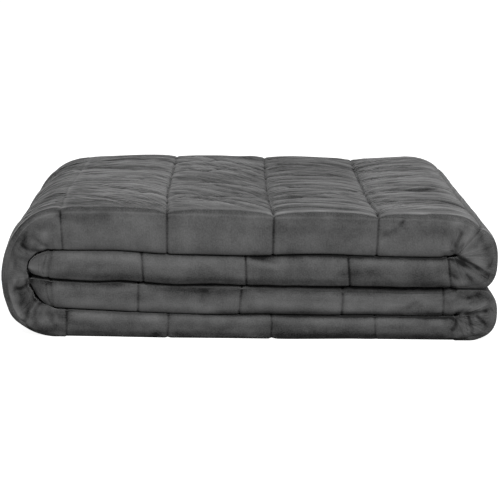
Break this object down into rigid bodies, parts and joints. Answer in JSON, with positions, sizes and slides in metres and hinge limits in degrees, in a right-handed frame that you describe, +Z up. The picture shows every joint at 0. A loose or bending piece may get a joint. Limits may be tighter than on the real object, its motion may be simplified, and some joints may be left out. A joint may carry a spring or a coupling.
{
  "type": "folded weighted blanket",
  "caption": "Quilted weighted blanket in dark grey plush, folded into a low square stack of layers with a big round fold on one side.",
  "frame": {"origin": "middle of the folded blanket's footprint, on the surface that it lies on", "axes": "+Z up; +Y from the front to the back, along the folds; +X along the layers, from the big round fold to the two small folds"},
  "size_m": [0.484, 0.5, 0.1287],
  "materials": {
    "plush": "short-pile plush, matt with a soft nap"
  },
  "bodies": {
    "root": {"blanket": "plush"}
  },
  "joints": []
}
